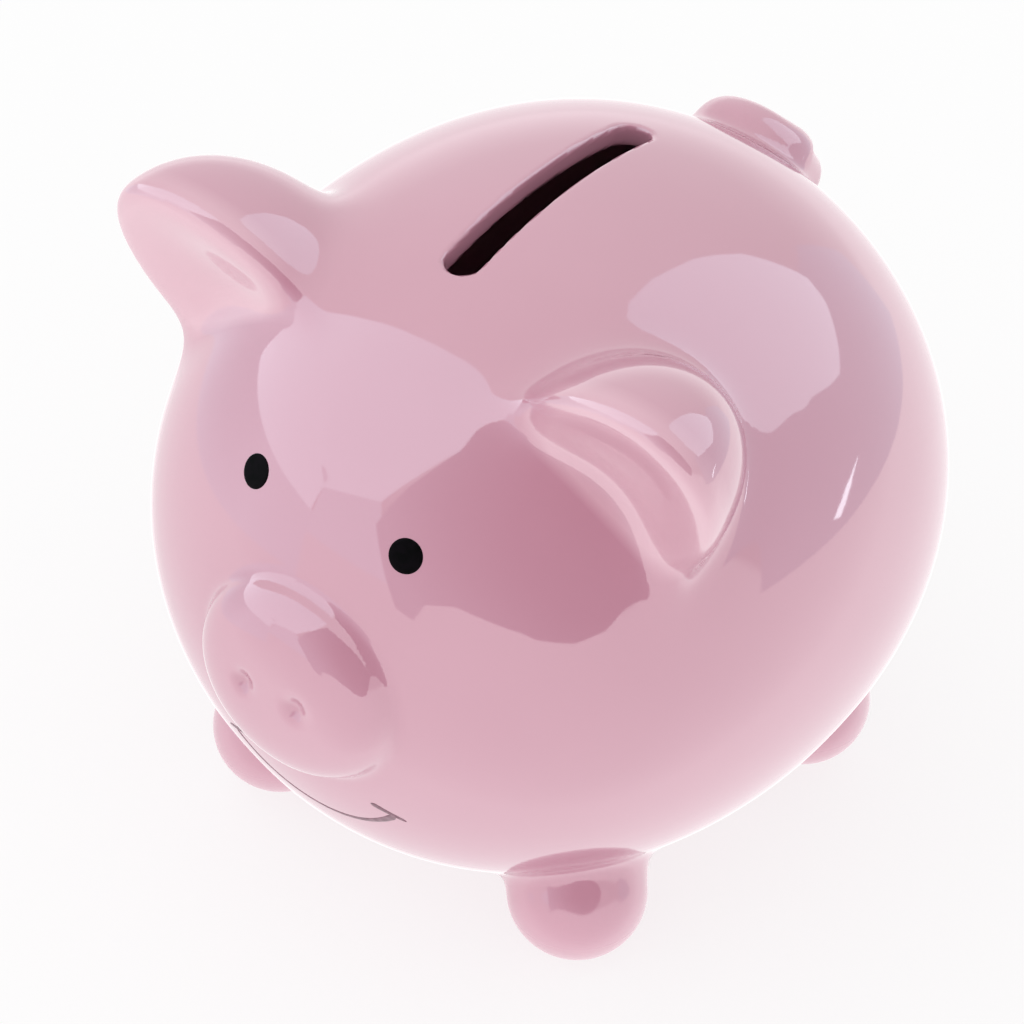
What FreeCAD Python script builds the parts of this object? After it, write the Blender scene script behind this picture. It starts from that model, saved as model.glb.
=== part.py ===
import FreeCAD, Part
import math
import os

# A slip-cast, glazed piggy bank. Millimetres, +Z up, the pig faces -Y, its left side is +X.
# The feet stand on z = 0 and the whole bank is centred on x = 0, y = 0.

V = FreeCAD.Vector

# --- hollow body: turned about its long axis, then pressed a little flatter in height ---
body_half_width = 48.0
body_half_length = 50.7
body_half_height = 46.8
body_lean = 0.111         # moves the bulk forward, so that the head end is the longer one
body_egg = 0.061          # narrows the rump
body_blunt = -0.228       # fills out the shoulders between side and end
wall = 4.0
profile_steps = 20

# --- flat belly with the stopper hole ---
belly_flat_depth = 3.4    # how much of the round underside the flat takes away
belly_clearance = 3.0     # belly flat above the table
stopper_hole_radius = 10.0
stopper_hole_y = 2.0

# --- coin slot ---
slot_width = 5.0
slot_x = -1.15            # cut by hand, a little to the right of the middle
slot_front_y = -20.0      # centres of the slot's round ends, from the body's centre
slot_back_y = 12.8
slot_lip = 0.8            # rounding of its outer edge

# --- ears: a dome cut off by a flat, slightly dished face ---
ear_direction = V(0.576, -0.660, 0.627)
ear_sink = 0.6            # root of the face below the body's surface
ear_across = V(0.730, 0.158, -0.665)
ear_tip = V(0.682, -0.246, 0.689)
ear_half_width = 13.4
ear_height = 20.8
ear_depth = 18.4
ear_rim = 2.6
ear_dish = 2.2

# --- snout ---
snout_half_width = 14.6
snout_half_height = 13.6
snout_reach = 4.6         # front of the snout ahead of the body's front end
snout_shoulder = 9.2      # length over which the snout rounds off to its front
snout_squareness = 2.6
snout_z = 1.1
nostril_x = 4.0
nostril_z = 2.0
nostril_half_width = 1.1
nostril_half_height = 1.6
nostril_depth = 1.2

# --- feet ---
foot_radius = 9.0
foot_bulge = 0.5          # how much of the round end is taken off to leave the dry foot rest
foot_lean = 0.8           # share of the way to the body's middle that a foot points
front_foot_x = 24.6
front_foot_y = -27.8
rear_foot_x = 26.0
rear_foot_y = 20.5

# --- curled tail ---
tail_bar_radius = 3.4
tail_curl_radius = 4.8
tail_curl_turn = 285.0
tail_root_length = 5.0
tail_rise = 1.6           # middle of the bar above the body's surface
tail_x = -1.6
tail_angle = 34.8         # degrees above the horizontal, seen from the body's centre

# --- painted eyes and smile ---
paint = 0.25
eye_radius = 2.15
eye_x = 11.9
eye_z = 23.3
smile_radius = 17.0
smile_centre_z = -4.8
smile_half_angle = 48.5
smile_width = 0.55
tick_length = 4.6
tick_width = 0.75
tick_slope = 19.0         # degrees the corner ticks fall outwards

# --- soft stopper ---
stopper_clearance = 0.08  # around the neck and bead in the hole
stopper_seat_gap = 0.1    # flange below the belly
stopper_flange_radius = 13.0
stopper_flange = 1.6
stopper_groove = 0.7      # neck smaller than the bead
stopper_bead = 2.6
stopper_cup_radius = 7.0
stopper_web = 1.6
stopper_grip_width = 2.2


def ring_radius(y):
    """Radius of the turned body at y from its centre."""
    t = y / body_half_length
    over = 1.0 - t * t * (1.0 + body_lean * t)
    return body_half_width * math.sqrt(max(0.0, over) / (1.0 + body_egg * t + body_blunt * t * t))


def body_end(side):
    """Distance along y to the end of the body, side -1 front or 1 back."""
    low, high = 0.0, 1.5
    for _ in range(60):
        t = 0.5 * (low + high)
        if t * t * (1.0 + body_lean * side * t) < 1.0:
            low = t
        else:
            high = t
    return side * low * body_half_length


front_end, back_end = body_end(-1), body_end(1)
height_ratio = body_half_height / body_half_width
belly_drop = body_half_height - belly_flat_depth
snout_front = front_end - snout_reach


def profile_point(angle):
    """Point (radius, y) of the outer profile, angle 0 at the front end and pi at the back."""
    middle, half = 0.5 * (front_end + back_end), 0.5 * (back_end - front_end)
    y = middle - half * math.cos(angle)
    return ring_radius(y), y


def turned_body(inset):
    """The body's round solid with its surface moved inwards by inset."""
    points = [V(0, front_end + inset, 0)]
    for i in range(1, profile_steps):
        angle = math.pi * i / profile_steps
        r, y = profile_point(angle)
        r0, y0 = profile_point(angle - 1e-3)
        r1, y1 = profile_point(angle + 1e-3)
        dr, dy = r1 - r0, y1 - y0
        size = math.hypot(dr, dy)
        points.append(V(r - inset * dy / size, y + inset * dr / size, 0))
    points.append(V(0, back_end - inset, 0))
    curve = Part.BSplineCurve()
    curve.interpolate(Points=points, InitialTangent=V(1, 0, 0), FinalTangent=V(-1, 0, 0))
    wire = Part.Wire([curve.toShape(), Part.makeLine(points[-1], points[0])])
    solid = Part.Face(wire).revolve(V(0, 0, 0), V(0, 1, 0), 360)
    squash = FreeCAD.Matrix()
    squash.scale(1, 1, height_ratio)
    return solid.transformGeometry(squash)


def slab(low_z, high_z):
    """A block far wider than the bank between two heights."""
    side = 8 * body_half_width
    return Part.makeBox(side, side, high_z - low_z, V(-side / 2, -side / 2, low_z))


def level(point):
    """Below 0 inside the body's round surface, above 0 outside."""
    t = point.y / body_half_length
    ring = (point.x / body_half_width) ** 2 + (point.z / body_half_height) ** 2
    return ring * (1 + body_egg * t + body_blunt * t * t) + t * t * (1 + body_lean * t) - 1


def surface_along(start, direction):
    """Where the ray from an inner point leaves the body."""
    low, high = 0.0, 4 * body_half_width
    for _ in range(60):
        reach = 0.5 * (low + high)
        if level(start + direction * reach) < 0:
            low = reach
        else:
            high = reach
    return start + direction * low


def surface_normal(point):
    step = 1e-3
    axes = (V(step, 0, 0), V(0, step, 0), V(0, 0, step))
    return V(*[level(point + a) - level(point - a) for a in axes]).normalize()


def scaled_sphere(rx, ry, rz):
    grow = FreeCAD.Matrix()
    grow.scale(rx, ry, rz)
    return Part.makeSphere(1.0).transformGeometry(grow)


def placed(shape, origin, x_axis, y_axis, z_axis):
    move = FreeCAD.Matrix(x_axis.x, y_axis.x, z_axis.x, origin.x,
                          x_axis.y, y_axis.y, z_axis.y, origin.y,
                          x_axis.z, y_axis.z, z_axis.z, origin.z, 0, 0, 0, 1)
    shape = shape.copy()
    shape.Placement = FreeCAD.Placement(move)
    return shape


def mirrored(shape):
    return shape.mirror(V(0, 0, 0), V(1, 0, 0))


def joined(shapes):
    whole = shapes[0]
    for shape in shapes[1:]:
        whole = whole.fuse(shape)
    return whole


def coin_slot(width, bottom, top):
    """Long round-ended block through the top of the body."""
    length = slot_back_y - slot_front_y
    block = Part.makeBox(width, length, top - bottom, V(slot_x - width / 2, slot_front_y, bottom))
    ends = [Part.makeCylinder(width / 2, top - bottom, V(slot_x, y, bottom))
            for y in (slot_front_y, slot_back_y)]
    return joined([block] + ends).removeSplitter()


def rounded_lip(shell):
    """Round the coin slot's outer edge, all the way around."""
    rim = []
    for edge in shell.Edges:
        box = edge.BoundBox
        near = abs(box.XMax) < slot_width and abs(box.XMin) < slot_width
        along = box.YMin > slot_front_y - slot_width and box.YMax < slot_back_y + slot_width
        flat = box.ZLength < 0.5 * wall
        if near and along and flat and surface_gap(edge) < 0.5 * wall:
            rim.append(edge)
    return shell.makeFillet(slot_lip, rim)


def surface_gap(edge):
    """How far below the round outer surface an edge near the top lies."""
    point = edge.valueAt(0.5 * (edge.FirstParameter + edge.LastParameter))
    return surface_along(V(point.x, point.y, 0), V(0, 0, 1)).z - point.z


def make_ear(body):
    """Half of an oval dome with a hollowed face. The whole dome meets the body before the face is
    cut, because the half dome's flat side fails against it at some sizes."""
    x_axis = V(ear_across).normalize()
    y_axis = V(ear_tip).cross(x_axis).normalize()
    z_axis = x_axis.cross(y_axis)
    outward = V(ear_direction).normalize()
    root = surface_along(V(0, 0, 0), outward) - outward * ear_sink
    dome = scaled_sphere(ear_half_width, ear_depth, ear_height)
    behind_face = Part.makeBox(200, 100, 200, V(-100, 0, -100))
    dish = scaled_sphere(ear_half_width - ear_rim, ear_dish, ear_height - ear_rim)
    dome, behind_face, dish = (placed(shape, root, x_axis, y_axis, z_axis)
                               for shape in (dome, behind_face, dish))
    return dome.cut(body).common(behind_face).cut(dish)


def make_snout(body):
    points = []
    for i in range(profile_steps // 2 + 1):
        angle = 0.5 * math.pi * i / (profile_steps // 2)
        power = 2.0 / snout_squareness
        points.append(V(math.sin(angle) ** power, -snout_shoulder * math.cos(angle) ** power, 0))
    curve = Part.BSplineCurve()
    curve.interpolate(points)
    back = snout_reach + 0.5 * body_half_length
    outline = [points[-1], V(1, back, 0), V(0, back, 0), points[0]]
    wire = Part.Wire([curve.toShape()] + [Part.makeLine(a, b) for a, b in zip(outline, outline[1:])])
    snout = Part.Face(wire).revolve(V(0, 0, 0), V(0, 1, 0), 360)
    spread = FreeCAD.Matrix()
    spread.scale(snout_half_width, 1, snout_half_height)
    snout = snout.transformGeometry(spread)
    snout.translate(V(0, snout_front + snout_shoulder, snout_z))
    for side in (-1, 1):
        dimple = scaled_sphere(nostril_half_width, nostril_depth, nostril_half_height)
        dimple.translate(V(side * nostril_x, snout_front, nostril_z))
        snout = snout.cut(dimple)
    return snout.cut(body)


def make_foot(body, x, y):
    """A short stub with a round end, leaning in towards the middle of the body."""
    ground = -belly_drop - belly_clearance
    centre = V(x, y, ground + foot_radius - foot_bulge)
    lean = V(-x * foot_lean, -y * foot_lean, -centre.z).normalize()
    stub = joined([Part.makeSphere(foot_radius, centre),
                   Part.makeCylinder(foot_radius, foot_radius * 2, centre, lean)])
    return stub.cut(slab(ground - foot_radius, ground)).cut(body)


def make_tail(body):
    """A bar bent into an open loop on the rump, its root hanging below."""
    angle = math.radians(tail_angle)
    seat = surface_along(V(tail_x, 0, 0), V(0, math.cos(angle), math.sin(angle)))
    z_axis = surface_normal(seat)
    x_axis = V(-1, 0, 0)
    y_axis = z_axis.cross(x_axis)
    ring = Part.Face(Part.Wire(Part.makeCircle(tail_bar_radius, V(-tail_curl_radius, 0, 0), V(0, 1, 0))))
    ring = ring.revolve(V(0, 0, 0), V(0, 0, -1), tail_curl_turn)
    turn = math.radians(180 - tail_curl_turn)
    end = V(tail_curl_radius * math.cos(turn), tail_curl_radius * math.sin(turn), 0)
    start = V(-tail_curl_radius, 0, 0)
    low = start - V(0, tail_root_length, 0)
    root = Part.makeCylinder(tail_bar_radius, tail_root_length, low, V(0, 1, 0))
    caps = [Part.makeSphere(tail_bar_radius, p) for p in (end, low)]
    curl = joined([ring, root] + caps)
    return placed(curl, seat + z_axis * tail_rise, x_axis, y_axis, z_axis).cut(body)


def make_eye(skin):
    seat = surface_along(V(eye_x, 0, eye_z), V(0, -1, 0))
    out = surface_normal(seat)
    depth = 2 * eye_radius
    return Part.makeCylinder(eye_radius, 2 * depth, seat - out * depth, out).common(skin)


def smile_band():
    """Arc of the smile, as a block running forward from inside the body."""
    deep, back = 2 * body_half_length, V(0, -2 * body_half_length, smile_centre_z)
    rings = [Part.makeCylinder(smile_radius + s * smile_width / 2, deep, back, V(0, 1, 0))
             for s in (1, -1)]
    half = math.radians(smile_half_angle)
    far = 3 * smile_radius
    corners = [V(0, back.y, smile_centre_z)]
    for a in (-half, 0, half):
        corners.append(V(far * math.sin(a), back.y, smile_centre_z - far * math.cos(a)))
    corners.append(corners[0])
    wedge = Part.Face(Part.makePolygon(corners)).extrude(V(0, deep, 0))
    return rings[0].cut(rings[1]).common(wedge)


def tick_block():
    """Short bar across the pig's left end of the smile."""
    half = math.radians(smile_half_angle)
    deep = 2 * body_half_length
    bar = Part.makeBox(tick_length, deep, tick_width, V(-0.6 * tick_length, -deep, -tick_width / 2))
    bar.rotate(V(0, 0, 0), V(0, 1, 0), tick_slope)
    bar.translate(V(smile_radius * math.sin(half), 0, smile_centre_z - smile_radius * math.cos(half)))
    return bar


def make_stopper():
    """Soft plug: flange, neck, bead, hollow on both sides with a grip bar underneath."""
    bead = stopper_hole_radius - stopper_clearance
    neck = bead - stopper_groove
    top = -stopper_seat_gap
    heights = (top - stopper_flange, top, wall, wall + stopper_bead)
    edge = 0.25 * stopper_bead
    outline = [V(0, 0, heights[0]), V(stopper_flange_radius, 0, heights[0]),
               V(stopper_flange_radius, 0, heights[1]), V(neck, 0, heights[1]),
               V(neck, 0, heights[2]), V(bead, 0, heights[2] + edge),
               V(bead, 0, heights[3] - edge), V(bead - 2 * edge, 0, heights[3]), V(0, 0, heights[3])]
    face = Part.Face(Part.makePolygon(outline + [outline[0]]))
    plug = face.revolve(V(0, 0, 0), V(0, 0, 1), 360)
    middle = 0.5 * (heights[0] + heights[3])
    upper = Part.makeCylinder(stopper_cup_radius, heights[3], V(0, 0, middle + stopper_web / 2))
    lower_depth = middle - stopper_web / 2 - heights[0]
    lower = Part.makeCylinder(stopper_cup_radius, lower_depth, V(0, 0, heights[0]))
    grip = Part.makeBox(2 * stopper_cup_radius, stopper_grip_width, lower_depth,
                        V(-stopper_cup_radius, -stopper_grip_width / 2, heights[0]))
    plug = plug.cut(upper).cut(lower.cut(grip))
    plug.translate(V(0, stopper_hole_y, -belly_drop))
    return plug


round_body = turned_body(0.0)
flat_bottom = slab(-belly_drop, 4 * body_half_height)
outer = round_body.common(flat_bottom)
cavity = turned_body(wall).common(slab(wall - belly_drop, 4 * body_half_height))
hole = Part.makeCylinder(stopper_hole_radius, 3 * wall, V(0, stopper_hole_y, -belly_drop - wall))
shell = outer.cut(cavity).cut(coin_slot(slot_width, 0, 2 * body_half_height)).cut(hole)
skin = turned_body(-paint).cut(round_body)
smile = smile_band()
left_ear = make_ear(outer)
left_eye = make_eye(skin)
left_tick = tick_block().common(skin).cut(smile)

nodes = {
    "body_shell": rounded_lip(shell),
    "ear_left": left_ear,
    "ear_right": mirrored(left_ear),
    "snout": make_snout(outer),
    "foot_front_left": make_foot(outer, front_foot_x, front_foot_y),
    "foot_front_right": make_foot(outer, -front_foot_x, front_foot_y),
    "foot_rear_left": make_foot(outer, rear_foot_x, rear_foot_y),
    "foot_rear_right": make_foot(outer, -rear_foot_x, rear_foot_y),
    "tail": make_tail(outer),
    "eye_left": left_eye,
    "eye_right": mirrored(left_eye),
    "smile_line": smile.common(skin),
    "smile_corner_left": left_tick,
    "smile_corner_right": mirrored(left_tick),
    "stopper": make_stopper(),
}

# stand the bank on z = 0 and centre it front to back between snout and tail
tail_back = nodes["tail"].optimalBoundingBox(False).YMax
lift = V(0, -0.5 * (snout_front + tail_back), belly_drop + belly_clearance)

os.makedirs("parts", exist_ok=True)
for name, shape in nodes.items():
    shape.translate(lift)
    shape.exportStep("parts/" + name + ".step")
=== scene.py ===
import math

import bpy
import numpy as np
from mathutils import Matrix, Vector


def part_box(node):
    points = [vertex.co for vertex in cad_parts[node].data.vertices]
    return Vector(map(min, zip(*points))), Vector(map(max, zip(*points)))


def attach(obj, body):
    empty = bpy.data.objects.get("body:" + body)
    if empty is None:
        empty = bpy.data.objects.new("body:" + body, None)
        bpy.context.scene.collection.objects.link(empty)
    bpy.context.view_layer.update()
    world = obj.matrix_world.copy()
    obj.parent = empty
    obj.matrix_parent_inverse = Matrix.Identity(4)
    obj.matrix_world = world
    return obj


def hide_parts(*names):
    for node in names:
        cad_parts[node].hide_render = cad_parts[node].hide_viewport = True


# A glazed ceramic piggy bank. The clay surface is one smooth field in millimetres, measured from
# the middle of the body: body, ears, snout, feet and tail run into each other with glaze-filled
# corners. The field is meshed once, then cut into one closed piece per CAD node. The paint lies on
# the round body, and the stopper is the CAD solid with a rubber material.
# In the functions p is an array of points, and q the same points in a part's own axes or share.

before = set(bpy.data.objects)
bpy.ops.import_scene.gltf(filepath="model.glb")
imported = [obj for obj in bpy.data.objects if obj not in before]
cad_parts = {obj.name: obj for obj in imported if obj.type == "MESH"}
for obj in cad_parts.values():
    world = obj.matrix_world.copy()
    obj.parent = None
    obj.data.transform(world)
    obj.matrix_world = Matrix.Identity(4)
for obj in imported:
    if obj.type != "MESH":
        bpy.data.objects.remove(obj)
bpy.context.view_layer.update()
MM = 0.001

# --- sizes of the clay: the CAD's, except that the wall is thinner, the nostrils are softer, and the
# --- ears and snout are fuller, by up to 1 mm, because a rounded edge falls back behind a sharp one ---
BODY = dict(half_width=48.0, half_length=50.7, half_height=46.8, lean=0.111, egg=0.061, blunt=-0.228)
WALL = 3.2
BELLY_DROP = 43.4
BELLY_CLEARANCE = 3.0
GROUND = -BELLY_DROP - BELLY_CLEARANCE
HOLE_RADIUS = 10.0
HOLE_Y = 2.0
SLOT_HALF_WIDTH = 2.5
SLOT_X = -1.15
SLOT_Y = (-20.0, 12.8)
EAR_DIRECTION = (0.576, -0.660, 0.627)
EAR_SINK = 0.6
EAR_ACROSS = (0.730, 0.158, -0.665)
EAR_TIP = (0.682, -0.246, 0.689)
EAR_HALF_WIDTH = 13.9
EAR_HEIGHT = 21.4
EAR_DEPTH = 18.6
EAR_RIM = 2.6
EAR_DISH = 2.2
SNOUT_HALF_WIDTH = 14.7
SNOUT_HALF_HEIGHT = 13.8
SNOUT_REACH = 4.6
SNOUT_SHOULDER = 9.2
SNOUT_SQUARENESS = 2.8
SNOUT_Z = 1.1
NOSTRIL = dict(x=4.0, z=2.0, width=1.0, height=1.1, depth=1.1)
FOOT_RADIUS = 9.0
FOOT_BULGE = 0.5
FOOT_LEAN = 0.8
FOOT_AT = {"foot_front_left": (24.6, -27.8), "foot_front_right": (-24.6, -27.8),
           "foot_rear_left": (26.0, 20.5), "foot_rear_right": (-26.0, 20.5)}
TAIL_BAR = 3.4
TAIL_CURL = 4.8
TAIL_TURN = math.radians(285.0)
TAIL_ROOT = 5.0
TAIL_RISE = 1.6
TAIL_X = -1.6
TAIL_ANGLE = math.radians(34.8)

# --- glaze: how far each corner fills up, in millimetres ---
FILL = dict(ear=7.0, snout=1.8, foot=4.0, tail=5.5, curl=3.0)
ROUND = dict(belly=4.0, ear_rim=4.2, slot=1.1, hole=1.6, foot_rest=0.8)

# --- paint, in millimetres, put on by hand: the eyes aren't quite level, and the strokes change
# --- width on their way. Profiles are (share of the width, share of the thickness) from the middle
# --- outwards, and the last share sinks the edge into the glaze. A tick's inner share is the part
# --- of its length on the middle side of the smile's end ---
EYE_RADIUS = 2.15
EYE_AT = {"eye_left": (11.9, 22.8), "eye_right": (-11.1, 23.6)}
EYE_THICKNESS = 0.10
EYE_PROFILE = ((0.25, 1), (0.5, 1), (0.75, 0.98), (0.9, 0.85), (0.97, 0.55), (1.0, 0.1), (0.99, -2.5))
SMILE_RADIUS = 17.0
SMILE_CENTRE_Z = -4.8
SMILE_HALF_ANGLE = math.radians(48.5)
SMILE_THICKNESS = 0.05
SMILE_WIDTH = (0.42, 1.17)
TICK_LENGTH = 4.6
TICK_SLOPE = math.radians(22.0)
TICK_INNER_SHARE = 0.68
TICK_THICKNESS = 0.06
TICK_WIDTH = (1.05, 0.60)
STROKE_PROFILE = ((0.25, 1), (0.7, 0.8), (1.0, 0.0), (0.96, -2.5))

# --- mesh: the cell, how far below the round body a part still owns its clay, and a distance beyond
# --- everything, in millimetres; then the moves of a vertex onto the surface and a search's halvings ---
CELL = 0.6
SEAM_DEPTH = 0.2
FAR = 1e3
SETTLING_MOVES = 4
HALVINGS = 60

# --- colours and gloss: heights are in millimetres above the ground; the ears' painted light, a lighter pink
# --- on their shaded faces, fades behind and before the plane of the face, and with the spread from a
# middle above the root ---
PINK_DEEP = (0.520, 0.247, 0.324)
PINK = (0.545, 0.266, 0.346)
# painted light: a lighter pink that stands in for light on the shaded ear faces
PINK_EAR_PAINTED_LIGHT = (0.66, 0.385, 0.46)
BISQUE = (0.72, 0.66, 0.60)
BLACK = ((0.002, 0.002, 0.002), (0.004, 0.003, 0.004))
GREY = ((0.21, 0.115, 0.145), (0.31, 0.18, 0.22))
RUBBER = ((0.60, 0.585, 0.55), (0.68, 0.665, 0.63))
GLAZE_ROUGHNESS = 0.045
FOOT_ROUGHNESS = 0.28
BISQUE_ROUGHNESS = 0.75
FOOT_GLAZE_HEIGHT = (6.0, 16.0)
FOOT_REST_HEIGHT = (0.25, 0.6)
EAR_PAINTED_LIGHT = dict(middle=8.0, behind=(2.6, 4.8), before=(-2.0, -0.6), spread=(11.0, 15.0))

# --- studio: directions are (azimuth, elevation) in degrees from the pig, azimuth 0 straight ahead
# --- of it and 90 its left. A pair of cosines says where a change starts and ends, by the angle to a
# --- direction, and a pair of heights does so by the sine of the elevation. ---
CAMERA = dict(azimuth=35.904, elevation=38.57, distance=0.5243, roll=1.638, lens=143.94,
              aim=(-0.00333, -0.00652, -0.00407))
COOL = (0.88, 1.0, 1.08)
FLOOR_SHADOW = 0.25
LIGHT = dict(toward=(-15, -10), strength=(0.72, 1.28))
CEILING = dict(heights=(0.3, 0.9), gloss=(2.0, 3.0))
TABLE = dict(back=(-135, -40), cosines=(0.30, 0.95), gloss=(3.1, 1.3))
HORIZON = dict(front=(35, 0), cosines=(0.30, 0.40), rise=0.17, heights=(-0.10, -0.02))
CARDS = {
    "left_softbox": dict(distance=0.90, strength=4.5, outline=[
        (-98, 13), (-32, 9), (-32, 17), (-14, 25), (4, 52), (16, 65), (31, 73), (-30, 75),
        (-60, 62), (-74, 50), (-86, 32)]),
    "left_flat": dict(distance=0.95, strength=3.3, outline=[
        (-31, 3), (-5, 3), (-14, 25), (-32, 17)]),
    "left_wall": dict(distance=0.96, strength=3.2, outline=[
        (-102, -9), (-31, -9), (-31, 9), (-98, 13)],
        fade=dict(toward=(-95, 0), cosines=(0.70, 0.99), strength=2.0)),
    "black_flag": dict(distance=0.92, strength=1.5, outline=[
        (-6, 4), (-3, -3), (2, -4), (5, 2), (14, 5), (28, 4), (38, 0), (50, -1), (60, 2), (68, 9),
        (78, 20), (70, 45), (48, 62), (29, 68), (16, 62), (0, 47), (-8, 34), (-13, 18)],
        fade=dict(toward=(60, 30), cosines=(0.45, 0.92), strength=0.0)),
    "right_softbox": dict(distance=0.90, strength=4.4, outline=[
        (159, 66), (168, 59), (171, 48), (170, 37), (165, 22), (156, 15), (145, 14),
        (132, 17), (121, 25), (118, 45), (135, 64), (146, 67)]),
    "right_wall": dict(distance=0.95, strength=2.1, outline=[
        (104, -6), (140, -8), (174, -7), (178, 5), (174, 20), (150, 30), (110, 28)]),
    "strip_lamp": dict(distance=0.88, strength=9.0, outline=[
        (125, -4), (130, -1), (137, 1), (133, -1), (127, -5)]),
    "lamp_arm": dict(distance=0.86, strength=3.0, outline=[
        (-47, 30), (-46, 28), (-32, 18), (-32, 20)]),
}


# ---------------------------------------------------------------- field

def smooth_min(a, b, reach):
    """Union of two fields whose corner is filled over reach."""
    h = np.maximum(reach - np.abs(a - b), 0.0) / reach
    return np.minimum(a, b) - h * h * h * reach / 6.0


def smooth_max(a, b, reach):
    """Common part of two fields whose edge is rounded over reach."""
    return -smooth_min(-a, -b, reach)


def unit(v):
    v = np.asarray(v, float)
    return v / np.linalg.norm(v)


def body_level(p):
    """Below 0 inside the round body, with its gradient."""
    w, l, h = BODY["half_width"], BODY["half_length"], BODY["half_height"]
    x, t, z = p[:, 0] / w, p[:, 1] / l, p[:, 2] / h
    ring = x * x + z * z
    grow = 1 + BODY["egg"] * t + BODY["blunt"] * t * t
    level = ring * grow + t * t * (1 + BODY["lean"] * t) - 1
    gx = 2 * x * grow / w
    gz = 2 * z * grow / h
    gy = (ring * (BODY["egg"] + 2 * BODY["blunt"] * t) + 2 * t + 3 * BODY["lean"] * t * t) / l
    return level, np.stack([gx, gy, gz], 1)


def round_body(p):
    """Near-exact distance to the round body."""
    level, slope = body_level(p)
    q = np.sqrt(np.maximum(level + 1, 1e-6))
    steep = np.linalg.norm(slope, axis=1) / (2 * q)
    return (q - 1) / np.maximum(steep, 1e-6)


def last_inside(inside, low, high):
    """The largest value between low and high for which inside is still true."""
    for _ in range(HALVINGS):
        middle = 0.5 * (low + high)
        if inside(middle):
            low = middle
        else:
            high = middle
    return low


def surface_along(start, way):
    """Where a ray from a point inside the round body leaves it."""
    start, way = np.asarray(start, float), unit(way)
    reach = last_inside(lambda r: body_level((start + way * r)[None])[0][0] < 0,
                        0.0, 4 * BODY["half_width"])
    return start + way * reach


def surface_normal(point):
    """The way out of the round body at a point on it."""
    return unit(body_level(np.asarray(point, float)[None])[1][0])


def body_end(side):
    """The y of the body's front end (side -1) or back end (side 1)."""
    share = last_inside(lambda t: t * t * (1 + BODY["lean"] * side * t) < 1, 0.0, 1.5)
    return side * share * BODY["half_length"]


def outer_body(p):
    """The round body with its belly cut flat."""
    return smooth_max(round_body(p), -(p[:, 2] + BELLY_DROP), ROUND["belly"])


def cavity(p):
    """The hollow inside, one wall below the outside."""
    return smooth_max(round_body(p) + WALL, WALL - p[:, 2] - BELLY_DROP, ROUND["belly"])


def oval(p, radii):
    """Near-exact distance to an ellipsoid at the origin."""
    s = p / radii
    q = np.linalg.norm(s, axis=1)
    return (q - 1) * q / np.maximum(np.linalg.norm(s / radii, axis=1), 1e-9)


ear_x = unit(EAR_ACROSS)
ear_y = unit(np.cross(EAR_TIP, ear_x))
ear_z = np.cross(ear_x, ear_y)
ear_axes = np.stack([ear_x, ear_y, ear_z], 1)
ear_root = surface_along((0, 0, 0), EAR_DIRECTION) - unit(EAR_DIRECTION) * EAR_SINK


def ear(p, side):
    """A half dome whose flat face is hollowed a little, inside a soft rim; the hollow runs out
    into the head."""
    q = (p * (side, 1, 1) - ear_root) @ ear_axes
    dome = oval(q, np.array([EAR_HALF_WIDTH, EAR_DEPTH, EAR_HEIGHT]))
    across = q[:, 0] / (EAR_HALF_WIDTH - EAR_RIM)
    up = np.maximum(q[:, 2], 0) / (EAR_HEIGHT - EAR_RIM)
    face = EAR_DISH * np.maximum(1 - across ** 2 - up ** 2, 0) ** 2
    return smooth_max(dome, face - q[:, 1], ROUND["ear_rim"])


snout_front = body_end(-1) - SNOUT_REACH


def snout(p):
    """A thick disc with a rounded edge and two soft nostril pits."""
    x, z = p[:, 0] / SNOUT_HALF_WIDTH, (p[:, 2] - SNOUT_Z) / SNOUT_HALF_HEIGHT
    y = np.minimum(p[:, 1] - snout_front - SNOUT_SHOULDER, 0) / SNOUT_SHOULDER
    n = SNOUT_SQUARENESS
    disc = np.sqrt(x * x + z * z)
    q = (disc ** n + np.abs(y) ** n) ** (1 / n)
    front = np.abs(y) ** n / np.maximum(q, 1e-6) ** n
    size = SNOUT_SHOULDER * front + SNOUT_HALF_HEIGHT * (1 - front)
    solid = (q - 1) * size
    for side in (-1, 1):
        across = (p[:, 0] - side * NOSTRIL["x"]) / NOSTRIL["width"]
        up = (p[:, 2] - NOSTRIL["z"]) / NOSTRIL["height"]
        solid = solid + NOSTRIL["depth"] * np.exp(-0.5 * (across ** 2 + up ** 2))
    return solid


def capsule(p, a, b, radius):
    """A round bar from a to b with round ends."""
    a, b = np.asarray(a, float), np.asarray(b, float)
    along = np.clip((p - a) @ (b - a) / np.dot(b - a, b - a), 0, 1)
    return np.linalg.norm(p - a - along[:, None] * (b - a), axis=1) - radius


def foot(p, x, y):
    """A round stub that leans toward the body's middle, cut flat at the ground."""
    centre = np.array([x, y, GROUND + FOOT_RADIUS - FOOT_BULGE])
    lean = unit((-x * FOOT_LEAN, -y * FOOT_LEAN, -centre[2]))
    stub = capsule(p, centre, centre + lean * 2 * FOOT_RADIUS, FOOT_RADIUS)
    return smooth_max(stub, GROUND - p[:, 2], ROUND["foot_rest"])


tail_seat = surface_along((TAIL_X, 0, 0), (0, math.cos(TAIL_ANGLE), math.sin(TAIL_ANGLE)))
tail_z = surface_normal(tail_seat)
tail_x = np.array([-1.0, 0, 0])
tail_axes = np.stack([tail_x, np.cross(tail_z, tail_x), tail_z], 1)
tail_origin = tail_seat + tail_z * TAIL_RISE


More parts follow.
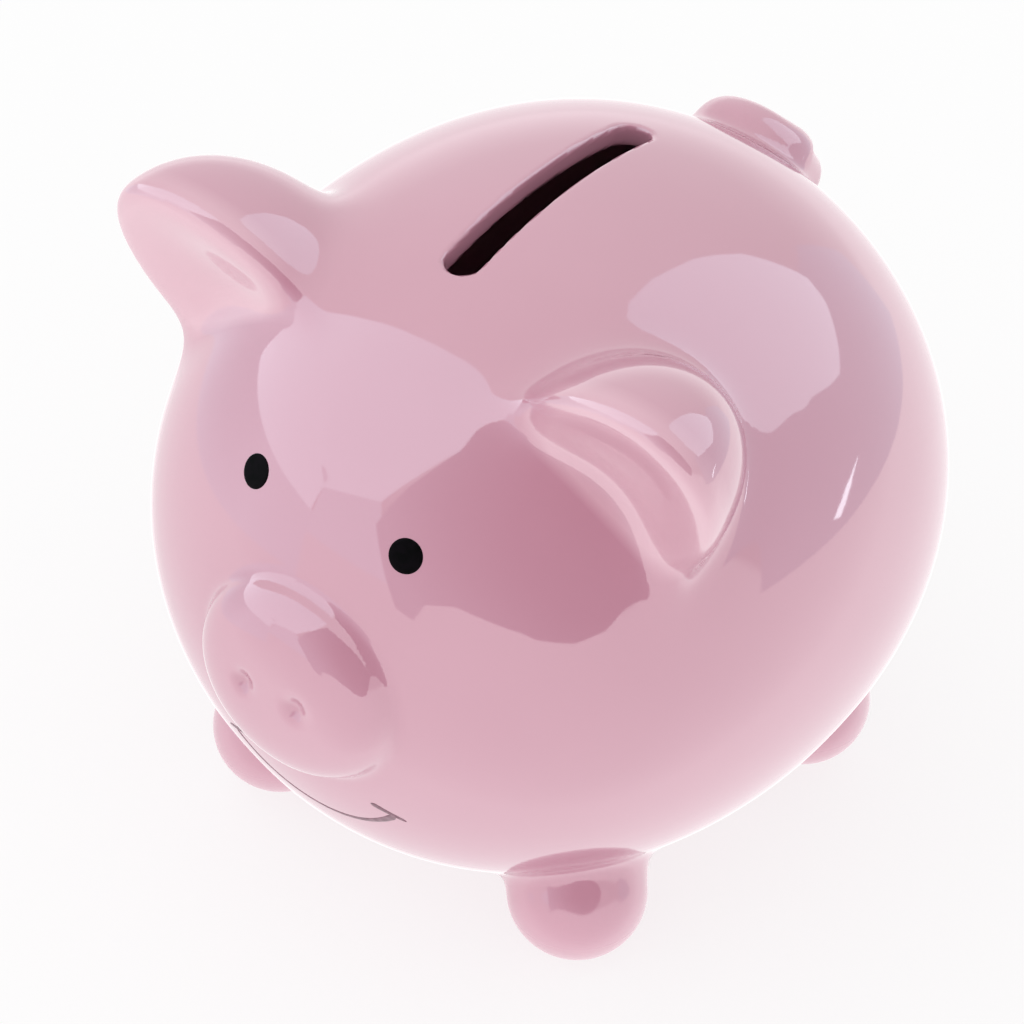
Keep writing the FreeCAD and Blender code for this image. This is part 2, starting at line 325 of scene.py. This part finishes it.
def tail(p):
    """A round bar curled into most of a ring, with a straight root."""
    q = (p - tail_origin) @ tail_axes
    turned = np.arctan2(q[:, 1], -q[:, 0]) % (2 * math.pi)
    ring = np.hypot(np.hypot(q[:, 0], q[:, 1]) - TAIL_CURL, q[:, 2]) - TAIL_BAR
    last = math.pi - TAIL_TURN
    end = np.array([TAIL_CURL * math.cos(last), TAIL_CURL * math.sin(last), 0])
    start = np.array([-TAIL_CURL, 0, 0])
    cap = np.linalg.norm(q - end, axis=1) - TAIL_BAR
    ring = np.where(turned < TAIL_TURN, ring, cap)
    root = capsule(q, start, start - (0, TAIL_ROOT, 0), TAIL_BAR)
    return smooth_min(ring, root, FILL["curl"])


def slot(p):
    """The space of the coin slot, with round ends, upwards from the body's middle."""
    y = p[:, 1] - np.clip(p[:, 1], *SLOT_Y)
    across = np.hypot(p[:, 0] - SLOT_X, y) - SLOT_HALF_WIDTH
    return np.maximum(across, -p[:, 2])


def stopper_hole(p):
    """The space of the belly hole, downwards from the body's middle."""
    across = np.hypot(p[:, 0], p[:, 1] - HOLE_Y) - HOLE_RADIUS
    return np.maximum(across, p[:, 2])


def around(centre, size):
    """A box that reaches size to every side of a centre."""
    centre = np.asarray(centre, float)
    return centre - size, centre + size


def within(p, box):
    low, high = box
    return np.all((p > low) & (p < high), axis=1)


# Each part and each cut: its field, how far its corner is filled or its edge rounded, and a box
# outside which it changes nothing.
PARTS = {
    "ear_left": (lambda p: ear(p, 1), FILL["ear"], around(ear_root, 28)),
    "ear_right": (lambda p: ear(p, -1), FILL["ear"], around(ear_root * (-1, 1, 1), 28)),
    "snout": (snout, FILL["snout"], around((0, snout_front + 4, SNOUT_Z), 22)),
    "tail": (tail, FILL["tail"], around(tail_origin, 18)),
}
for foot_name, (foot_x, foot_y) in FOOT_AT.items():
    PARTS[foot_name] = (lambda p, x=foot_x, y=foot_y: foot(p, x, y), FILL["foot"],
                        around((foot_x, foot_y, GROUND + 8), 20))
CUTS = (
    (slot, ROUND["slot"], (np.array([-12, -35, 0]), np.array([12, 25, FAR]))),
    (stopper_hole, ROUND["hole"], (np.array([-20, HOLE_Y - 20, -FAR]), np.array([20, HOLE_Y + 20, 0]))),
)


def clay(p):
    """The whole glazed clay: below 0 inside."""
    solid = outer_body(p)
    for shape, fill, box in PARTS.values():
        near = within(p, box)
        if near.any():
            solid[near] = smooth_min(solid[near], shape(p[near]), fill)
    solid = np.maximum(solid, -cavity(p))
    for shape, rounding, box in CUTS:
        near = within(p, box)
        if near.any():
            solid[near] = smooth_max(solid[near], -shape(p[near]), rounding)
    return solid


def field_slope(p, field, step=0.02):
    """The field's gradient, by central differences."""
    slope = np.empty_like(p)
    for axis in range(3):
        move = np.zeros(3)
        move[axis] = step
        slope[:, axis] = (field(p + move) - field(p - move)) / (2 * step)
    return slope


# ---------------------------------------------------------------- meshing

def settled(verts, field, cell):
    """The vertices moved onto the surface, by at most half a cell at a time."""
    for _ in range(SETTLING_MOVES):
        slope = field_slope(verts, field)
        steep = np.maximum(np.sum(slope * slope, axis=1), 0.05)
        step = (field(verts) / steep)[:, None] * slope
        size = np.linalg.norm(step, axis=1, keepdims=True)
        verts = verts - step * np.minimum(1, 0.5 * cell / np.maximum(size, 1e-9))
    return verts


def mesh_field(field, low, high, cell):
    """Surface nets: one vertex in each cell that the surface crosses, one quad at each crossed edge,
    then every vertex is moved onto the surface. Returns vertices, quads and normals."""
    axes = [np.arange(low[i], high[i] + cell, cell) for i in range(3)]
    shape = tuple(len(a) for a in axes)
    value = np.empty(shape)
    yy, zz = np.meshgrid(axes[1], axes[2], indexing="ij")
    for i, x in enumerate(axes[0]):
        p = np.stack([np.full(yy.size, x), yy.ravel(), zz.ravel()], 1)
        value[i] = field(p).reshape(yy.shape)
    inside = value < 0
    quads, cells, points = [], [], []
    strides = np.array([shape[1] * shape[2], shape[2], 1])
    for axis in range(3):
        a = [slice(None)] * 3
        b = [slice(None)] * 3
        a[axis], b[axis] = slice(0, -1), slice(1, None)
        crossed = inside[tuple(a)] != inside[tuple(b)]
        at = np.argwhere(crossed)
        u, v = (axis + 1) % 3, (axis + 2) % 3
        at = at[(at[:, u] > 0) & (at[:, v] > 0)]
        flat = at @ strides
        f0 = value.ravel()[flat]
        f1 = value.ravel()[flat + strides[axis]]
        hit = at.astype(float)
        hit[:, axis] += f0 / (f0 - f1)
        ring = [flat, flat - strides[u], flat - strides[u] - strides[v], flat - strides[v]]
        quad = np.stack(ring, 1)
        flip = f0 > 0
        quad[flip] = quad[flip][:, ::-1]
        quads.append(quad)
        for corner in ring:
            cells.append(corner)
            points.append(hit)
    quads = np.concatenate(quads)
    cells = np.concatenate(cells)
    points = np.concatenate(points)
    used, index = np.unique(cells, return_inverse=True)
    count = np.bincount(index)
    mean = np.stack([np.bincount(index, points[:, i]) / count for i in range(3)], 1)
    verts = mean * cell + np.array(low)
    verts = settled(verts, field, cell)
    slope = field_slope(verts, field)
    normals = slope / np.maximum(np.linalg.norm(slope, axis=1, keepdims=True), 1e-9)
    return verts, np.searchsorted(used, quads), normals


def owners(verts, quads):
    """Which CAD node each quad of the clay belongs to."""
    centre = verts[quads].mean(axis=1)
    names = ["body_shell"] + list(PARTS)
    body = outer_body(centre)
    best = body.copy()
    owner = np.zeros(len(quads), int)
    for i, (shape, _, box) in enumerate(PARTS.values(), 1):
        near = within(centre, box) & (body > -SEAM_DEPTH)
        distance = np.full(len(quads), FAR)
        distance[near] = shape(centre[near])
        mine = distance < best
        owner[mine] = i
        best[mine] = distance[mine]
    return names, owner


shell_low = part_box("body_shell")[0]
ORIGIN = np.array([0.0, shell_low.y - body_end(-1) * MM, shell_low.z + BELLY_DROP * MM])


def to_row(points):
    """Millimetres from the body's middle to metres in the row frame."""
    return points * MM + ORIGIN


def make_object(name, verts, faces, corner_normals=None):
    mesh = bpy.data.meshes.new(name)
    mesh.from_pydata(verts.tolist(), [], [list(map(int, f)) for f in faces])
    mesh.shade_smooth()
    if corner_normals is not None:
        mesh.normals_split_custom_set(corner_normals.tolist())
    obj = bpy.data.objects.new(name, mesh)
    bpy.context.scene.collection.objects.link(obj)
    return obj


def seam_caps(verts, quads, centre_index):
    """Triangles that close a patch: a fan from its open edges to one inner point."""
    start = quads.ravel()
    end = np.roll(quads, -1, axis=1).ravel()
    forward = start * (len(verts) + 1) + end
    backward = end * (len(verts) + 1) + start
    is_open = ~np.isin(forward, backward)
    return [(b, a, centre_index) for a, b in zip(start[is_open], end[is_open])]


def piece_from(name, verts, normals, quads, caps, cap_points):
    """One closed object out of the clay's quads and its hidden seam caps."""
    faces = [tuple(q) for q in quads] + caps
    all_verts = np.concatenate([verts, cap_points])
    flat = np.concatenate([np.asarray(f) for f in faces])
    used, index = np.unique(flat, return_inverse=True)
    renumbered, at = [], 0
    for f in faces:
        renumbered.append(index[at:at + len(f)])
        at += len(f)
    corner_normals = np.empty((len(flat), 3))
    at = quads.size
    corner_normals[:at] = normals[flat[:at]]
    for cap in caps:
        a, b, c = all_verts[list(cap)]
        corner_normals[at:at + 3] = unit(np.cross(b - a, c - a) + 1e-12)
        at += 3
    return make_object(name, to_row(all_verts[used]), renumbered, corner_normals)


def build_clay():
    """All ceramic pieces, by the name of their CAD node."""
    low = np.array([-BODY["half_width"] - 3, snout_front - 3, GROUND - 2])
    high = np.array([BODY["half_width"] + 3, body_end(1) + 6, BODY["half_height"] + 4])
    verts, quads, normals = mesh_field(clay, low, high, CELL)
    names, owner = owners(verts, quads)
    inner = np.zeros((len(names), 3))
    for i in range(1, len(names)):
        seam = np.intersect1d(quads[owner == i], quads[owner == 0])
        inner[i] = verts[seam].mean(axis=0)
    pieces, shell_caps = {}, []
    for i, name in enumerate(names[1:], 1):
        mine = quads[owner == i]
        caps = seam_caps(verts, mine, len(verts) + i)
        shell_caps += [(b, a, c) for a, b, c in caps]
        pieces[name] = piece_from(name + "_clay", verts, normals, mine, caps, inner)
    mine = quads[owner == 0]
    pieces["body_shell"] = piece_from("body_shell_clay", verts, normals, mine, shell_caps, inner)
    return pieces


# ---------------------------------------------------------------- paint

def on_body(point):
    """The nearest point of the round body, to well under a micron."""
    p = np.asarray(point, float)[None].copy()
    for _ in range(5):
        level, slope = body_level(p)
        p -= (level / np.sum(slope * slope, axis=1))[:, None] * slope
    return p[0]


def front_point(x, z):
    """The point on the front of the round body at a place seen from straight ahead."""
    return surface_along((x, 0, z), (0, -1, 0))


def painted(name, outline_rings, thickness):
    """A closed thin layer of enamel on the body. outline_rings runs from the middle line or point
    outwards as (points, share of the thickness) pairs; the last ring is sunk below the glaze."""
    rings = []
    for points, share in outline_rings:
        out = np.array([surface_normal(q) for q in points])
        rings.append(np.array([on_body(q) for q in points]) + out * thickness * share)
    count = len(rings[0])
    faces = []
    for k in range(len(rings) - 1):
        for j in range(count):
            n = (j + 1) % count
            faces.append((k * count + j, (k + 1) * count + j, (k + 1) * count + n, k * count + n))
    faces.append(tuple(range(count)))
    last = (len(rings) - 1) * count
    faces.append(tuple(last + j for j in reversed(range(count))))
    return make_object(name, to_row(np.concatenate(rings)), faces)


def make_eye(name):
    seat = front_point(*EYE_AT[name])
    out = surface_normal(seat)
    u = unit(np.cross((0, 0, 1), out))
    v = np.cross(out, u)
    turns = np.linspace(0, 2 * math.pi, 64, endpoint=False)
    circle = np.cos(turns)[:, None] * u + np.sin(turns)[:, None] * v
    rings = [(seat + EYE_RADIUS * share * circle, height) for share, height in EYE_PROFILE]
    return painted(name + "_paint", rings, EYE_THICKNESS)


def stroke(name, line, sideways, widths, taper, thickness):
    """A brush stroke on the front of the body. line holds its middle as (x, z) points, sideways the
    way across it, and taper how quickly the ends reach the full width."""
    centres = np.array([front_point(*q) for q in line])
    beside = np.array([front_point(*q) for q in line + sideways * 0.05])
    across = (beside - centres) / np.linalg.norm(beside - centres, axis=1, keepdims=True)
    share = np.linspace(0, 1, len(line))
    widths = widths * np.minimum(1, np.minimum(share, 1 - share) * taper + 0.3)
    rings = []
    for part, height in STROKE_PROFILE:
        half = 0.5 * widths[:, None] * part
        loop = np.concatenate([centres + across * half, (centres - across * half)[::-1]])
        rings.append((loop, height))
    return painted(name, rings, thickness)


def make_smile():
    """An arc that thickens toward the left cheek."""
    share = np.linspace(0, 1, 72)
    angles = np.linspace(-SMILE_HALF_ANGLE, SMILE_HALF_ANGLE, len(share))
    out = np.stack([np.sin(angles), -np.cos(angles)], 1)
    thin, thick = SMILE_WIDTH
    widths = thin + (thick - thin) * share ** 3
    line = (0, SMILE_CENTRE_Z) + SMILE_RADIUS * out
    return stroke("smile_line_paint", line, out, widths, 30, SMILE_THICKNESS)


def make_tick(side):
    """A short stroke across one end of the smile, falling away from the middle."""
    share = np.linspace(0, 1, 16)
    end = np.array([SMILE_RADIUS * math.sin(SMILE_HALF_ANGLE),
                    SMILE_CENTRE_Z - SMILE_RADIUS * math.cos(SMILE_HALF_ANGLE)])
    along = np.array([math.cos(TICK_SLOPE), -math.sin(TICK_SLOPE)])
    line = (end + along * ((share - TICK_INNER_SHARE) * TICK_LENGTH)[:, None]) * (side, 1)
    sideways = np.array([math.sin(TICK_SLOPE) * side, math.cos(TICK_SLOPE)]) * -side
    first, last = TICK_WIDTH
    name = "smile_corner_left" if side > 0 else "smile_corner_right"
    return stroke(name + "_paint", line, sideways, first + (last - first) * share, 8, TICK_THICKNESS)


# ---------------------------------------------------------------- materials

def new_material(name):
    material = bpy.data.materials.new(name)
    material.use_nodes = True
    return material, material.node_tree.nodes, material.node_tree.links


def noise(nodes, links, coordinates, scale, detail=2.0, roughness=0.5):
    node = nodes.new("ShaderNodeTexNoise")
    node.inputs["Scale"].default_value = scale
    node.inputs["Detail"].default_value = detail
    node.inputs["Roughness"].default_value = roughness
    links.new(coordinates, node.inputs["Vector"])
    return node.outputs["Fac"]


def mapped(nodes, links, value, low, high, to_low, to_high):
    """Stretches low..high to to_low..to_high and stays at the end values outside it."""
    node = nodes.new("ShaderNodeMapRange")
    node.inputs["From Min"].default_value = low
    node.inputs["From Max"].default_value = high
    node.inputs["To Min"].default_value = to_low
    node.inputs["To Max"].default_value = to_high
    links.new(value, node.inputs["Value"])
    return node.outputs["Result"]


def mixed(nodes, links, factor, a, b):
    node = nodes.new("ShaderNodeMix")
    node.data_type = "RGBA"
    links.new(factor, node.inputs["Factor"])
    for socket, value in ((node.inputs["A"], a), (node.inputs["B"], b)):
        if isinstance(value, tuple):
            socket.default_value = (*value, 1.0)
        else:
            links.new(value, socket)
    return node.outputs["Result"]


def connect(links, socket, value):
    """Feeds a socket from another socket, or sets it to a constant."""
    if hasattr(value, "is_linked"):
        links.new(value, socket)
    elif value is not None:
        socket.default_value = value


def vector_math(nodes, links, operation, a, b=None):
    node = nodes.new("ShaderNodeVectorMath")
    node.operation = operation
    connect(links, node.inputs[0], a)
    connect(links, node.inputs[1], b)
    return node.outputs["Value" if operation in ("DOT_PRODUCT", "LENGTH") else "Vector"]


def arithmetic(nodes, links, operation, a, b):
    node = nodes.new("ShaderNodeMath")
    node.operation = operation
    connect(links, node.inputs[0], a)
    connect(links, node.inputs[1], b)
    return node.outputs[0]


def picked(nodes, links, factor, a, b):
    """A number between a and b, by factor."""
    node = nodes.new("ShaderNodeMix")
    node.data_type = "FLOAT"
    for name, value in (("Factor", factor), ("A", a), ("B", b)):
        connect(links, node.inputs[name], value)
    return node.outputs[0]


def add_bump(nodes, links, height, strength, distance):
    bump = nodes.new("ShaderNodeBump")
    bump.inputs["Strength"].default_value = strength
    bump.inputs["Distance"].default_value = distance
    links.new(height, bump.inputs["Height"])
    links.new(bump.outputs["Normal"], nodes["Principled BSDF"].inputs["Normal"])


def in_metres(millimetres):
    return tuple(value * MM for value in millimetres)


def ear_face_painted_light(nodes, links, place):
    """1 on the hollow faces of both ears, where a lighter pink is painted in as light on their shaded
    hollows.
    """
    sideways = vector_math(nodes, links, "MULTIPLY", place, (1, 0, 0))
    upright = vector_math(nodes, links, "MULTIPLY", place, (0, 1, 1))
    folded = vector_math(nodes, links, "ADD", vector_math(nodes, links, "ABSOLUTE", sideways), upright)
    from_root = vector_math(nodes, links, "SUBTRACT", folded, to_row(ear_root))
    depth = vector_math(nodes, links, "DOT_PRODUCT", from_root, ear_y)
    middle = to_row(ear_root + EAR_PAINTED_LIGHT["middle"] * ear_z)
    spread = vector_math(nodes, links, "LENGTH", vector_math(nodes, links, "SUBTRACT", folded, middle))
    behind = mapped(nodes, links, depth, *in_metres(EAR_PAINTED_LIGHT["behind"]), 1.0, 0.0)
    before = mapped(nodes, links, depth, *in_metres(EAR_PAINTED_LIGHT["before"]), 0.0, 1.0)
    beside = mapped(nodes, links, spread, *in_metres(EAR_PAINTED_LIGHT["spread"]), 1.0, 0.0)
    level = arithmetic(nodes, links, "MULTIPLY", behind, before)
    return arithmetic(nodes, links, "MULTIPLY", level, beside)


def pink_glaze():
    """Cloudy pink glaze with painted light, a lighter pink, on the ear faces; thin and satin on the
    feet, none on their rests.
    """
    material, nodes, links = new_material("pink_glaze")
    shader = nodes["Principled BSDF"]
    place = nodes.new("ShaderNodeTexCoord").outputs["Object"]
    cloud = mapped(nodes, links, noise(nodes, links, place, 22.0, 3.0), 0.35, 0.65, 0.0, 1.0)
    colour = mixed(nodes, links, cloud, PINK_DEEP, PINK)
    # painted light: the ear faces get a lighter pink in place of light on their shaded hollows
    colour = mixed(nodes, links, ear_face_painted_light(nodes, links, place), colour, PINK_EAR_PAINTED_LIGHT)
    split = nodes.new("ShaderNodeSeparateXYZ")
    links.new(place, split.inputs[0])
    height = split.outputs["Z"]
    dry = mapped(nodes, links, height, *in_metres(FOOT_REST_HEIGHT), 1.0, 0.0)
    links.new(mixed(nodes, links, dry, colour, BISQUE), shader.inputs["Base Color"])
    glazed = mapped(nodes, links, height, *in_metres(FOOT_GLAZE_HEIGHT), FOOT_ROUGHNESS, GLAZE_ROUGHNESS)
    bare = mapped(nodes, links, dry, 0.0, 1.0, 0.0, BISQUE_ROUGHNESS)
    links.new(arithmetic(nodes, links, "MAXIMUM", glazed, bare), shader.inputs["Roughness"])
    shader.inputs["IOR"].default_value = 1.55
    add_bump(nodes, links, noise(nodes, links, place, 90.0, 2.0), 0.02, 0.001)
    return material


def enamel(name, colours, roughness, gloss):
    """Brushed-on paint in two close tones."""
    material, nodes, links = new_material(name)
    shader = nodes["Principled BSDF"]
    place = nodes.new("ShaderNodeTexCoord").outputs["Object"]
    strokes = mapped(nodes, links, noise(nodes, links, place, 900.0, 2.0), 0.35, 0.65, 0.0, 1.0)
    links.new(mixed(nodes, links, strokes, *colours), shader.inputs["Base Color"])
    shader.inputs["Roughness"].default_value = roughness
    shader.inputs["Specular IOR Level"].default_value = gloss
    return material


def stopper_rubber():
    material, nodes, links = new_material("stopper_rubber")
    shader = nodes["Principled BSDF"]
    place = nodes.new("ShaderNodeTexCoord").outputs["Object"]
    fine = noise(nodes, links, place, 1500.0, 3.0)
    cloud = mapped(nodes, links, noise(nodes, links, place, 120.0, 2.0), 0.3, 0.7, 0.0, 1.0)
    links.new(mixed(nodes, links, cloud, *RUBBER), shader.inputs["Base Color"])
    links.new(mapped(nodes, links, fine, 0.3, 0.7, 0.38, 0.55), shader.inputs["Roughness"])
    add_bump(nodes, links, fine, 0.15, 0.0002)
    return material


# ---------------------------------------------------------------- studio

def direction(azimuth, elevation):
    """Unit vector; azimuth 0 is straight ahead of the pig, 90 its left."""
    a, e = math.radians(azimuth), math.radians(elevation)
    return np.array([math.sin(a) * math.cos(e), -math.cos(a) * math.cos(e), math.sin(e)])


def toward(nodes, links, way):
    """How far the shaded point lies toward a direction from the pig, as the cosine of the angle."""
    place = nodes.new("ShaderNodeNewGeometry").outputs["Position"]
    ray = vector_math(nodes, links, "NORMALIZE", vector_math(nodes, links, "SUBTRACT", place, ORIGIN))
    return vector_math(nodes, links, "DOT_PRODUCT", ray, way)


def light_card(name, outline, distance, strength, fade=None):
    """A studio card that only the glaze's reflections see: a softbox, a grey flat or a black flag."""
    verts = np.array([direction(*corner) for corner in outline]) * distance + ORIGIN
    card = make_object(name, verts, [range(len(outline))])
    material, nodes, links = new_material(name)
    nodes.remove(nodes["Principled BSDF"])
    glow = nodes.new("ShaderNodeEmission")
    glow.inputs["Color"].default_value = (*COOL, 1)
    glow.inputs["Strength"].default_value = strength
    if fade:
        cosine = toward(nodes, links, direction(*fade["toward"]))
        faded = mapped(nodes, links, cosine, *fade["cosines"], strength, fade["strength"])
        links.new(faded, glow.inputs["Strength"])
    links.new(glow.outputs[0], nodes["Material Output"].inputs["Surface"])
    card.data.materials.append(material)
    card.visible_camera = False
    card.visible_diffuse = False
    card.visible_shadow = False
    card.visible_transmission = False


def make_floor():
    """White table: keeps a soft shadow for the camera and lights the underside evenly. The glaze
    sees the world's lower half in its place."""
    bpy.ops.mesh.primitive_grid_add(x_subdivisions=4, y_subdivisions=4, size=8.0, location=(0, 0, 0))
    floor = bpy.context.object
    floor.name = "studio_floor"
    material, nodes, links = new_material("studio_floor")
    paper = nodes["Principled BSDF"]
    paper.inputs["Base Color"].default_value = (0.98, 0.98, 0.98, 1)
    paper.inputs["Roughness"].default_value = 0.95
    paper.inputs["Specular IOR Level"].default_value = 0.0
    ray = nodes.new("ShaderNodeLightPath")
    white = nodes.new("ShaderNodeEmission")
    white.inputs["Strength"].default_value = 1.0

    def blend(factor, a, b):
        node = nodes.new("ShaderNodeMixShader")
        connect(links, node.inputs["Fac"], factor)
        links.new(a.outputs[0], node.inputs[1])
        links.new(b.outputs[0], node.inputs[2])
        return node

    seen = blend(FLOOR_SHADOW, white, paper)
    both = blend(ray.outputs["Is Camera Ray"], white, seen)
    links.new(both.outputs[0], nodes["Material Output"].inputs["Surface"])
    floor.data.materials.append(material)
    floor.visible_glossy = False


def make_world():
    """A white room. Diffuse light comes a little more from the front and below than from above.
    The glaze sees a bright ceiling and a bright table that falls off at the back. The edge between
    them rises a little in front."""
    world = bpy.data.worlds.new("studio")
    bpy.context.scene.world = world
    world.use_nodes = True
    nodes, links = world.node_tree.nodes, world.node_tree.links
    ray = nodes.new("ShaderNodeLightPath")
    way = nodes.new("ShaderNodeTexCoord").outputs["Generated"]
    split = nodes.new("ShaderNodeSeparateXYZ")
    links.new(way, split.inputs[0])
    height = split.outputs["Z"]

    def along(angles):
        return vector_math(nodes, links, "DOT_PRODUCT", way, direction(*angles))

    ceiling = mapped(nodes, links, height, *CEILING["heights"], *CEILING["gloss"])
    table = mapped(nodes, links, along(TABLE["back"]), *TABLE["cosines"], *TABLE["gloss"])
    rise = mapped(nodes, links, along(HORIZON["front"]), *HORIZON["cosines"], 0.0, HORIZON["rise"])
    above = arithmetic(nodes, links, "SUBTRACT", height, rise)
    above = mapped(nodes, links, above, *HORIZON["heights"], 0.0, 1.0)
    gloss = picked(nodes, links, above, table, ceiling)
    light = mapped(nodes, links, along(LIGHT["toward"]), -1.0, 1.0, *LIGHT["strength"])
    unseen = picked(nodes, links, ray.outputs["Is Glossy Ray"], light, gloss)
    strength = picked(nodes, links, ray.outputs["Is Camera Ray"], unseen, 1.0)
    links.new(strength, nodes["Background"].inputs["Strength"])
    nodes["Background"].inputs["Color"].default_value = (1, 1, 1, 1)


def make_camera():
    """Looks down at the pig from its left front, a little rolled, as the photograph does."""
    data = bpy.data.cameras.new("camera")
    camera = bpy.data.objects.new("camera", data)
    bpy.context.scene.collection.objects.link(camera)
    bpy.context.scene.camera = camera
    place = ORIGIN + direction(CAMERA["azimuth"], CAMERA["elevation"]) * CAMERA["distance"]
    look = Vector(ORIGIN + np.array(CAMERA["aim"]) - place)
    turn = look.to_track_quat("-Z", "Y").to_matrix().to_4x4()
    roll = Matrix.Rotation(math.radians(CAMERA["roll"]), 4, "Z")
    camera.matrix_world = Matrix.Translation(Vector(place)) @ turn @ roll
    data.lens = CAMERA["lens"]
    data.sensor_width = 36.0
    data.clip_start = 0.01


# ---------------------------------------------------------------- assembly

def dress(piece, node, material):
    """Lets a visual piece stand for its CAD node, in its material."""
    piece.data.materials.append(material)
    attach(piece, "bank")
    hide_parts(node)


glaze = pink_glaze()
black = enamel("black_enamel", BLACK, 0.3, 0.01)
grey = enamel("grey_enamel", GREY, 0.3, 0.06)
rubber = stopper_rubber()

for node, piece in build_clay().items():
    dress(piece, node, glaze)
for node in EYE_AT:
    dress(make_eye(node), node, black)
dress(make_smile(), "smile_line", grey)
dress(make_tick(1), "smile_corner_left", grey)
dress(make_tick(-1), "smile_corner_right", grey)
for material_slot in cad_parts["stopper"].material_slots:
    material_slot.material = rubber

for name, card in CARDS.items():
    light_card(name, **card)
make_floor()
make_world()
make_camera()
bpy.context.scene.view_settings.view_transform = "Standard"
